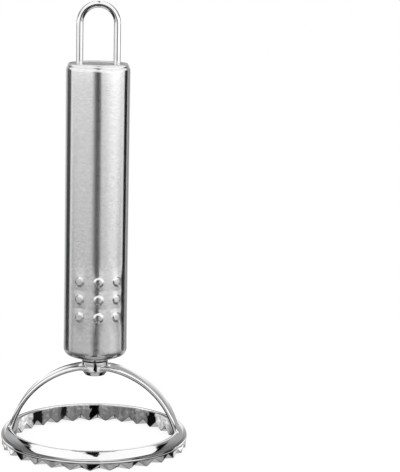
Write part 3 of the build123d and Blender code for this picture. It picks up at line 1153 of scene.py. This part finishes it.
# %% Brushed tube
tree, place, edge = metal("brushed_tube", "satin_tube")
fine = use_group(tree, turned_grain, place, Length=3.0, Width=0.09)
coarse = use_group(tree, turned_grain, place, Length=1.3, Width=0.34)
smear = use_group(tree, smears, place, Size=16.0)
scuff = use_group(tree, scuffs, place, Length=7.0, Width=0.07)
edge_mark = use_group(tree, edge_wear_and_crease_shade, place, Edge=edge, Patch=2.0)
grain = total(tree, 0.0, (fine, 0.35), (coarse, 0.65))
colour = layered(
    tree,
    (0.72, 0.72, 0.72),
    (grain, 1.0, (0.98, 0.98, 0.98)),
    (smear, 0.2, (0.8, 0.795, 0.785)),
    (edge_mark, 0.5, (0.95, 0.95, 0.95)),
)
roughness = total(tree, 0.14, (grain, 0.06), (smear, 0.02), (scuff, 0.05), (edge_mark, -0.04))
give_finish(tree, colour, roughness, total(tree, 0.0, (grain, 1.0), (scuff, -0.5)), depth=0.005)
tree.nodes["Principled BSDF"].inputs["Anisotropic"].default_value = 0.95
tree.nodes["Principled BSDF"].inputs["Anisotropic Rotation"].default_value = 0.25

# %% [markdown]
# The cap was faced on a lathe, so its grain is in circles about the axis. A grain that depends only on
# the distance from the axis gives perfect circles; adding a little of a slow noise lets each groove
# start and end.

# %% Satin cap
tree, place, edge = metal("satin_cap", "cap_disc")
drift_reach = 3
drift = times(tree, use_group(tree, waviness, place, Size=5.0), drift_reach * MM)
circles = combined(tree, X=drift, Z=from_axis(tree, place))
groove = use_group(tree, turned_grain, circles, Length=2.0, Width=0.12)
smear = use_group(tree, smears, place, Size=7.0)
edge_mark = use_group(tree, edge_wear_and_crease_shade, place, Edge=edge, Patch=1.5)
layers = ((groove, 1.0, (0.86, 0.86, 0.86)), (edge_mark, 0.6, (0.93, 0.93, 0.93)))
colour = layered(tree, (0.74, 0.74, 0.74), *layers)
roughness = total(tree, 0.17, (groove, 0.08), (smear, 0.06), (edge_mark, -0.06))
give_finish(tree, colour, roughness, groove, depth=0.003)

# %% [markdown]
# The loop is drawn wire, so its faint lines run along the wire, round the bend too. Object coordinates
# can't follow a bend, so every point of the wire carries its place as if the wire were straight: cosine
# and sine round the section, and the length along it.

# %% Polished wire
wire_step = np.hypot(np.diff(path_x, prepend=path_x[0]), np.diff(path_z, prepend=path_z[0]))
wire_length = np.cumsum(wire_step)[:, None]
wire_axes = (wire_radius * np.cos(wire_turn), wire_radius * np.sin(wire_turn), wire_length)
straight = np.stack(np.broadcast_arrays(*wire_axes), axis=-1) * MM
straightened = pieces["wire_loop"].data.attributes.new("straightened", "FLOAT_VECTOR", "POINT")
straightened.data.foreach_set("vector", straight.astype(np.float32).ravel())
print(f"the wire is {wire_length[-1, 0]:.1f} mm long")

tree, place, _ = metal("polished_wire", "wire_loop")
along_wire = attribute(tree, "straightened", "Vector")
drawn = use_group(tree, turned_grain, along_wire, Length=0.12, Width=9.0)
smear = use_group(tree, smears, place, Size=6.0)
scuff = use_group(tree, scuffs, place, Length=3.0, Width=0.05)
layers = ((drawn, 1.0, (0.92, 0.92, 0.92)), (smear, 0.5, (0.84, 0.838, 0.835)))
colour = layered(tree, (0.85, 0.85, 0.855), *layers)
roughness = total(tree, 0.06, (drawn, 0.04), (smear, 0.05), (scuff, 0.08))
give_finish(tree, colour, roughness, total(tree, 0.0, (drawn, 1.0), (scuff, -0.4)), depth=0.0012)

# %% [markdown]
# The nut, the washer and the backing plate are zinc-plated steel from a box of fasteners. Zinc is dull
# and cloudy, a little blue in one place and a little yellow in another, and it rubs off to darker steel
# at the corners.

# %% Dull zinc
tree, place, edge = metal("zinc_steel", "backing_plate", "clamp_nut", "split_washer")
cloud = use_group(tree, smears, place, Size=2.5)
yellowed = use_group(tree, waviness, place, Size=3.0)
scuff = use_group(tree, scuffs, place, Length=2.0, Width=0.06)
edge_mark = use_group(tree, edge_wear_and_crease_shade, place, Edge=edge, Patch=0.8)
colour = layered(
    tree,
    (0.56, 0.58, 0.62),
    (yellowed, 1.0, (0.64, 0.62, 0.55)),
    (cloud, 0.5, (0.68, 0.68, 0.68)),
    (edge_mark, 1.0, (0.42, 0.41, 0.4)),
)
roughness = total(tree, 0.3, (cloud, 0.18), (scuff, -0.08), (edge_mark, -0.05))
give_finish(tree, colour, roughness, total(tree, 0.0, (cloud, 1.0), (scuff, -0.5)), depth=0.006)

# %% [markdown]
# The bush is plain turned aluminium. The tool's feed leaves regular grooves, so here the grain is nearly
# a full circle long and as wide as the feed of each turn.

# %% Turned aluminium
tree, place, edge = metal("turned_aluminium", "turned_bush")
feed = use_group(tree, turned_grain, place, Length=25.0, Width=0.22)
dull = use_group(tree, smears, place, Size=5.0)
edge_mark = use_group(tree, edge_wear_and_crease_shade, place, Edge=edge, Patch=1.0)
layers = ((feed, 1.0, (0.78, 0.78, 0.79)), (edge_mark, 0.7, (0.85, 0.85, 0.86)))
colour = layered(tree, (0.66, 0.66, 0.67), *layers)
roughness = total(tree, 0.28, (feed, 0.1), (dull, 0.1), (edge_mark, -0.08))
give_finish(tree, colour, roughness, feed, depth=0.008)

# %% [markdown]
# Polished metal has hardly a colour of its own: it shows the room. This tool seems to have been
# photographed in a white light tent, and its reflections hint at what was round it: an arched opening on
# each side with a dark edge, a narrow dark gap on the camera's side, two dark uprights and a small dark
# hole overhead. Lamps and cards could imitate that, but a world is simpler, because a far thing depends
# only on the direction of the ray. So nearly every shape below is a soft window in azimuth and
# elevation, in degrees.


# %% Directions
def split_axes(tree, vector):
    """X, Y and Z of a vector, and its azimuth in degrees: 0 towards the camera, positive to the right."""
    node = tree.nodes.new("ShaderNodeSeparateXYZ")
    tree.links.new(vector, node.inputs["Vector"])
    x, y, z = node.outputs
    return x, y, z, calc(tree, "DEGREES", calc(tree, "ARCTAN2", x, times(tree, y, -1)))


world = bpy.data.worlds.new("light_tent")
bpy.context.scene.world = world
world.use_nodes = True
tent = world.node_tree
direction = tent.nodes.new("ShaderNodeTexCoord").outputs["Generated"]
ray_x, ray_y, ray_z, azimuth = split_axes(tent, direction)
aside = calc(tent, "ABSOLUTE", azimuth)
elevation = calc(tent, "DEGREES", calc(tent, "ARCSINE", ray_z))

# %% [markdown]
# Low down, the left is a little dimmer than the right, and the back is dimmer still. On the camera's
# side the paper is bright close by, dark a little further on, and brighter again towards the horizon.
# The ground has a dark band too; above, all is white.

# %% Light tent
paper_white = 1.06
left_paper = 0.87
right_paper = 1.26
level = shade(tent, left_paper, window(tent, azimuth, 40, 90, 22), right_paper)
level = shade(tent, level, ramp(tent, azimuth, -132, -140), ramp(tent, azimuth, -148, -166, 0.48, 1.0))
level = shade(tent, level, ramp(tent, azimuth, 128, 138), ramp(tent, azimuth, 150, 168, 0.3, 1.0))
far_paper = ramp(tent, elevation, -12, -1, 0.38, 1.3)
far_paper = shade(tent, far_paper, ramp(tent, elevation, -13.8, -14.3), 1.0)
in_front = ramp(tent, aside, 105, 95)
level = times(tent, level, shade(tent, 1.0, in_front, far_paper))
to_left = times(tent, window(tent, azimuth, -112, -18, 8), ramp(tent, elevation, -66, -60))
ground = shade(tent, ramp(tent, elevation, -64, -72, 0.03, 0.45), to_left, 0.03)
level = shade(tent, level, ramp(tent, elevation, -16, -19), ground)
level = shade(tent, level, ramp(tent, elevation, 8, 22), paper_white)

# %% [markdown]
# The tent's two openings are arches. They are dim inside, dimmer towards the front, and have a dark
# edge, which the polished bow and the flange show as their black lines. They begin about a dozen degrees
# above the horizon, over the tent's lower edge.


# %% Arched openings
def opening(light, middle, towards_front, front, back, height, dimmest, dimmer, edge_level, edge_width):
    """The light with an opening under a parabola of azimuth, dim inside and with a dark edge.

    The arch is height times 1 - s^2, where s is the azimuth from the middle, as a share of the front or back
    width. The level inside goes from dimmest at the front to dimmer at the back.
    """
    from_middle = calc(tent, "WRAP", calc(tent, "SUBTRACT", azimuth, middle), 180, -180)
    sideways = times(tent, from_middle, towards_front)
    front_share = calc(tent, "DIVIDE", sideways, front)
    back_share = calc(tent, "DIVIDE", sideways, -back)
    share = calc(tent, "MAXIMUM", front_share, back_share)
    arch = times(tent, calc(tent, "SUBTRACT", 1, times(tent, share, share)), height)
    above = calc(tent, "SUBTRACT", elevation, arch)
    within = times(tent, ramp(tent, above, 1.5, -1.5), ramp(tent, elevation, 9, 15))
    light = shade(tent, light, within, ramp(tent, sideways, -32, 36, dimmer, dimmest))
    edge = times(tent, window(tent, above, -edge_width, 0, 1.5), ramp(tent, elevation, 12, 20))
    return shade(tent, light, edge, edge_level)


left_edge = shade(tent, 0.008, window(tent, azimuth, -143, -124, 5), 0.14)
level = opening(
    level,
    middle=-130,
    towards_front=1,
    front=66,
    back=71,
    height=47.5,
    dimmest=0.14,
    dimmer=0.45,
    edge_level=left_edge,
    edge_width=7,
)
right_edge = ramp(tent, azimuth, 142, 160, 0.003, 0.3)
level = opening(
    level,
    middle=128,
    towards_front=-1,
    front=63,
    back=81,
    height=48,
    dimmest=0.14,
    dimmer=0.4,
    edge_level=right_edge,
    edge_width=9,
)

# %% [markdown]
# Low down stand a gap on the camera's side, soft on its left and leaning, and an upright on each side.
# At the neck's own height they are wider, because the neck is narrow and shows the whole room in a few
# millimetres.

# %% Gap and uprights
low_down = ramp(tent, elevation, 14, 8)
leaning = total(tent, azimuth, (elevation, 0.55))
gap = times(
    tent, ramp(tent, leaning, -23, -6), ramp(tent, leaning, 13, 7), ramp(tent, elevation, -16, -14.6)
)
left_dark = ramp(tent, elevation, -15, -3, 0.015, 0.1)
left_upright = window(tent, azimuth, -138, -111, 1.5)
right_upright = window(tent, azimuth, 109, 131, 1)
for mask, dark in ((gap, 0.01), (left_upright, left_dark), (right_upright, 0.002)):
    level = shade(tent, level, times(tent, mask, low_down), dark)

at_neck = window(tent, elevation, -15.2, -14.0, 0.1)
level = shade(tent, level, times(tent, in_front, at_neck), 0.8)
for lowest, highest, grey in ((-172, -88, 0.004), (-5, 19, 0.004), (118, 172, 0.4), (80, 120, 0.004)):
    level = shade(tent, level, times(tent, window(tent, azimuth, lowest, highest, 2), at_neck), grey)

# %% [markdown]
# The cap's top shows what is far behind: white, with a dark slit near the horizon. The hole overhead is
# a slanted patch in the ray's own X and Y. Last of all, the camera itself sees plain white, which gives
# the white background without more light.

# %% Slit, hole and background
behind = times(tent, ramp(tent, aside, 173, 176), window(tent, elevation, 0, 60, 3))
level = shade(tent, level, behind, paper_white)
slit = times(
    tent, ramp(tent, aside, 171, 174), ramp(tent, elevation, 20, 6), ramp(tent, elevation, -8, -4)
)
level = shade(tent, level, slit, 0.12)
slanted = total(tent, ray_x, (ray_y, 0.12))
across_hole = times(tent, ramp(tent, slanted, -0.07, -0.055), ramp(tent, ray_x, 0.065, 0.05))
hole = times(tent, across_hole, window(tent, ray_y, -0.62, 0.3, 0.03), ramp(tent, ray_z, 0.4, 0.5))
level = shade(tent, level, hole, 0.003)

light_path = tent.nodes.new("ShaderNodeLightPath")
level = shade(tent, level, light_path.outputs["Is Camera Ray"], 1)
tent.links.new(level, tent.nodes["Background"].inputs["Color"])
tent.nodes["Background"].inputs["Strength"].default_value = 1
print(f"light tent: {len(tent.nodes)} nodes")

# %% [markdown]
# The floor is a pale round table. The camera sees it lifted to white by a little light of its own, so it
# has no edge in the picture, and only the object's own soft shadow stays on it. It is left out of the
# reflections, where the screens of the next steps take its place.


# %% Table
def stage_mesh(name, points, faces):
    """A mesh in millimetres that belongs to the stage, not to the object, and its material's nodes."""
    mesh = bpy.data.meshes.new(name)
    mesh.from_pydata((points.reshape(-1, 3) * MM).tolist(), [], faces)
    prop = bpy.data.objects.new(name, mesh)
    bpy.context.scene.collection.objects.link(prop)
    material = bpy.data.materials.new(name)
    material.use_nodes = True
    mesh.materials.append(material)
    print(f"{name}: a prop with {len(mesh.vertices)} points")
    return prop, material.node_tree


table_radius = 125
table_sides = 96
table_grey = 0.22
table_glow = 0.86
table_edge = turned(even_azimuth(table_sides), (table_radius, 0))
table, table_nodes = stage_mesh("table", table_edge, [list(range(table_sides))])
table.visible_glossy = False
paper = table_nodes.nodes["Principled BSDF"].inputs
paper["Base Color"].default_value = (table_grey, table_grey, table_grey, 1)
paper["Roughness"].default_value = 1
paper["Specular IOR Level"].default_value = 0
paper["Emission Color"].default_value = (1, 1, 1, 1)
paper["Emission Strength"].default_value = table_glow

# %% [markdown]
# Things that stand close to the tool can't be part of the world, because each piece sees them in another
# direction. They are plain screens that give off light and that only reflections see. Four of them are
# bands round the axis: a cylinder or a flat ring, according to its two rims.

# %% Screens
screen_columns = 180


def screen(name, points, faces):
    """A prop that only reflections see: hidden from the camera, it neither shades nor lights the table."""
    prop, nodes = stage_mesh(name, points, faces)
    prop.visible_camera = False
    prop.visible_diffuse = False
    prop.visible_shadow = False
    return nodes


def round_screen(name, first_rim, second_rim):
    """A screen round the axis between two rims (radius, height), in millimetres.

    It gives its nodes and, for a place on it, the azimuth, the azimuth without its sign, the distance from
    the axis and the height.
    """
    points = turned(even_azimuth(screen_columns), first_rim, second_rim)
    nodes = screen(name, points, grid_quads(2, screen_columns, close_rows=False))
    place = nodes.nodes.new("ShaderNodeTexCoord").outputs["Object"]
    _, _, z, turn = split_axes(nodes, place)
    radius, height = (calc(nodes, "DIVIDE", length, MM) for length in (from_axis(nodes, place), z))
    return nodes, turn, calc(nodes, "ABSOLUTE", turn), radius, height


def let_glow(nodes, light, opacity):
    """The screen gives off the light where its opacity is 1, and isn't there where it is 0."""
    glow = nodes.nodes.new("ShaderNodeEmission")
    link_or_set(nodes, glow.inputs["Color"], light)
    clear = nodes.nodes.new("ShaderNodeBsdfTransparent")
    mix = nodes.nodes.new("ShaderNodeMixShader")
    link_or_set(nodes, mix.inputs["Fac"], opacity)
    nodes.links.new(clear.outputs[0], mix.inputs[1])
    nodes.links.new(glow.outputs[0], mix.inputs[2])
    nodes.links.new(mix.outputs[0], nodes.nodes["Material Output"].inputs["Surface"])


# %% [markdown]
# A low dim wall stands round the head and gives the flange its dark lower band. It is bright in front,
# open at the back, and higher at the sides. The handle looks over it, so it stays bright.

# %% Dim wall
wall_radius = 60
wall_foot = -5
wall_top = 14
wall_front_top = 9
wall_rims = ((wall_radius, wall_foot), (wall_radius, wall_top))
wall, _, wall_aside, _, wall_z = round_screen("dim_wall", *wall_rims)
wall_light = ramp(wall, wall_aside, 6, 42, 0.85, 0.14)
wall_light = shade(wall, wall_light, ramp(wall, wall_aside, 95, 132), 0.4)
below_top = calc(wall, "SUBTRACT", wall_z, ramp(wall, wall_aside, 10, 65, wall_front_top, wall_top))
let_glow(wall, wall_light, times(wall, ramp(wall, below_top, 0, -4), ramp(wall, wall_aside, 140, 128)))

# %% [markdown]
# The teeth look down past the table's height into a grey bowl. Its dark stripes are the black teeth of
# the photograph, and faint clouds keep the others from being all alike.

# %% Grey bowl
bowl_radius = 150
bowl_foot = -66
bowl_top = 0
bowl_front_edge = -17
bowl_back_edge = -3
bowl_rims = ((bowl_radius, bowl_foot), (bowl_radius, bowl_top))
bowl, bowl_turn, bowl_aside, _, bowl_z = round_screen("grey_bowl", *bowl_rims)
bowl_light = ramp(bowl, bowl_aside, 100, 118, 0.27, 0.8)
bowl_light = shade(bowl, bowl_light, ramp(bowl, bowl_aside, 138, 158), 0.3)
cloud_place = combined(bowl, X=calc(bowl, "DIVIDE", bowl_turn, 6), Y=calc(bowl, "DIVIDE", bowl_z, 70))
clouds = ramp(bowl, noise(bowl, cloud_place), 0.25, 0.75, 0.7, 1.3)
bowl_light = times(bowl, bowl_light, ramp(bowl, bowl_z, -46, -40, 0.72, 1.2), clouds)
for lowest, highest, soft, dark in (
    (-107, -89, 1.5, 0.004),
    (-67, -65, 0.6, 0.1),
    (-7.5, 7, 1, 0.002),
    (44, 53, 1, 0.01),
    (88, 107, 1, 0.01),
):
    bowl_light = shade(bowl, bowl_light, window(bowl, bowl_turn, lowest, highest, soft), dark)
bowl_edge = ramp(bowl, bowl_aside, 140, 155, bowl_front_edge, bowl_back_edge)
below_top = calc(bowl, "SUBTRACT", bowl_z, bowl_edge)
let_glow(bowl, bowl_light, times(bowl, ramp(bowl, bowl_z, -65, -61), ramp(bowl, below_top, 2, -2)))

# %% [markdown]
# Under the teeth lies a paper ring, wide in front and narrow elsewhere. A white card lies on each side
# of the wire loop, where the cap's rounded edge and the handle's mouth catch it as a bright rim. And a
# small black flag hangs before the bow: the flange shows it as a dark patch.

# %% Paper ring, white card and flag
ring_inside = 26
ring_outside = 42
side_inside = 30
side_outside = 38.5
ring_z = -3
ring_rims = ((ring_inside, ring_z), (ring_outside, ring_z))
sheet, _, sheet_aside, sheet_radius, _ = round_screen("paper_ring", *ring_rims)
sheet_light = ramp(sheet, sheet_radius, 37.5, 38.5, 0.5, 1.05)
sheet_light = shade(sheet, sheet_light, ramp(sheet, sheet_aside, 38, 55), 0.42)
sheet_inner = ramp(sheet, sheet_aside, 50, 70, ring_inside, side_inside)
sheet_outer = ramp(sheet, sheet_aside, 30, 45, ring_outside, side_outside)
beyond_inner = calc(sheet, "GREATER_THAN", sheet_radius, sheet_inner)
before_outer = calc(sheet, "LESS_THAN", sheet_radius, sheet_outer)
let_glow(sheet, sheet_light, times(sheet, beyond_inner, before_outer))

card_inside = 16
card_outside = 110
card_z = 146.5
card_rims = ((card_inside, card_z), (card_outside, card_z))
card, _, card_aside, _, _ = round_screen("white_card", *card_rims)
let_glow(card, (paper_white, paper_white, paper_white, 1), window(card, card_aside, 45, 118, 5))

flag_z = 24
flag_back = -17
flag_front = -28
flag_right = 2.4
back_left = -4.1
front_left = -3.2
flag_corners = np.array(
    [
        (back_left, flag_back, flag_z),
        (flag_right, flag_back, flag_z),
        (flag_right, flag_front, flag_z),
        (front_left, flag_front, flag_z),
    ]
)
flag = screen("flag", flag_corners, [[0, 1, 2, 3]])
let_glow(flag, (0.003, 0.003, 0.003, 1), 1.0)

# %% [markdown]
# The camera was found by fitting the photograph: the ring's ellipse, the tooth tips, the handle's sides
# and the loop fix its place, its direction and its focal length in pixels. The image is 400 by 472
# pixels, and Blender's sensor width belongs to the longer side.

# %% Camera
camera_data = bpy.data.cameras.new("camera")
camera = bpy.data.objects.new("camera", camera_data)
bpy.context.scene.collection.objects.link(camera)
bpy.context.scene.camera = camera
image_long_side = 472
focal_pixels = 1833.16
camera_data.sensor_width = 36
camera_data.lens = camera_data.sensor_width * focal_pixels / image_long_side
yaw = math.radians(3.288)
pitch = math.radians(10.287)
roll = math.radians(1.227)
camera_place = np.array([0, -621.99, 187.49]) * MM
forward = np.array([math.sin(yaw) * math.cos(pitch), math.cos(yaw) * math.cos(pitch), -math.sin(pitch)])
level_right = np.array([math.cos(yaw), -math.sin(yaw), 0])
level_up = np.cross(level_right, forward)
right = math.cos(roll) * level_right + math.sin(roll) * level_up
up = math.cos(roll) * level_up - math.sin(roll) * level_right
camera_matrix = np.identity(4)
camera_matrix[:3] = np.stack([right, up, -forward, camera_place], axis=-1)
camera.matrix_world = Matrix(camera_matrix.tolist())
print(f"camera: a lens of {camera_data.lens:.1f} mm, {math.hypot(*camera_place):.3f} m from the origin")

bpy.context.scene.view_settings.view_transform = "Standard"
